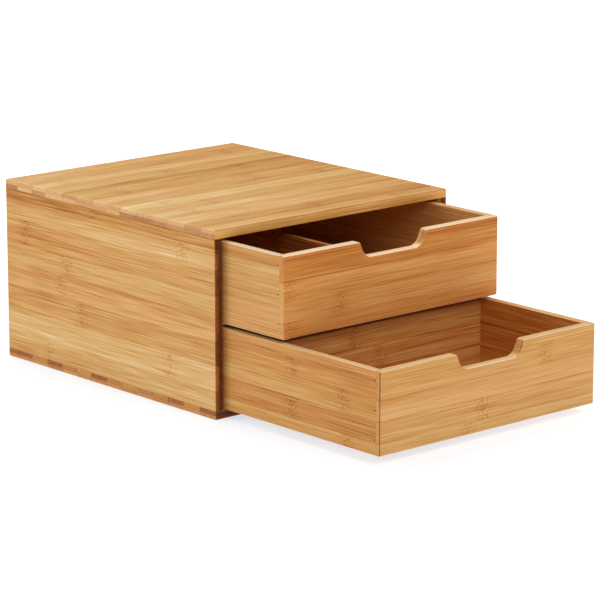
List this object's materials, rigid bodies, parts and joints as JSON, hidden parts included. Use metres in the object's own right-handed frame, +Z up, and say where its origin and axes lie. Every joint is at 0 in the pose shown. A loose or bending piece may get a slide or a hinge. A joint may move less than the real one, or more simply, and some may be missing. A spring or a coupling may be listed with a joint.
{
  "type": "tea bag drawer box",
  "caption": "Bamboo tabletop box with two stacked open-topped drawers, each with a finger notch in its front, one drawer divided into rows for tea bags.",
  "frame": {"origin": "middle of the case's footprint, on the surface that it stands on", "axes": "+X to the right as seen from the front, +Y from the front to the rear, +Z up"},
  "size_m": [0.3, 0.546, 0.184],
  "materials": {
    "bamboo_top_and_bottom": "satin lacquer",
    "bamboo_case_sides": "satin lacquer",
    "bamboo_thin_panels": "sanded",
    "bamboo_drawer_fronts": "satin lacquer",
    "bamboo_drawer_sides": "satin lacquer",
    "bamboo_drawer_panels": "sanded",
    "dowel_wood": "bare",
    "pin_steel": "dull"
  },
  "bodies": {
    "case": {"top_panel": "bamboo_top_and_bottom", "bottom_panel": "bamboo_top_and_bottom", "left_side_panel": "bamboo_case_sides", "right_side_panel": "bamboo_case_sides", "back_panel": "bamboo_thin_panels", "middle_shelf": "bamboo_thin_panels", "case_dowels": "dowel_wood"},
    "upper_drawer": {"upper_drawer_front": "bamboo_drawer_fronts", "upper_drawer_left_side": "bamboo_drawer_sides", "upper_drawer_right_side": "bamboo_drawer_sides", "upper_drawer_back": "bamboo_drawer_fronts", "upper_drawer_bottom": "bamboo_drawer_panels", "upper_drawer_pins": "pin_steel", "upper_drawer_divider": "bamboo_drawer_panels"},
    "lower_drawer": {"lower_drawer_front": "bamboo_drawer_fronts", "lower_drawer_left_side": "bamboo_drawer_sides", "lower_drawer_right_side": "bamboo_drawer_sides", "lower_drawer_back": "bamboo_drawer_fronts", "lower_drawer_bottom": "bamboo_drawer_panels", "lower_drawer_pins": "pin_steel"}
  },
  "joints": [
    {"name": "upper_drawer_slide", "type": "slide", "parent": "case", "child": "upper_drawer", "axis": [0, -1, 0], "range_m": [-0.0847, 0.204]},
    {"name": "lower_drawer_slide", "type": "slide", "parent": "case", "child": "lower_drawer", "axis": [0, -1, 0], "range_m": [-0.2167, 0.072]}
  ]
}
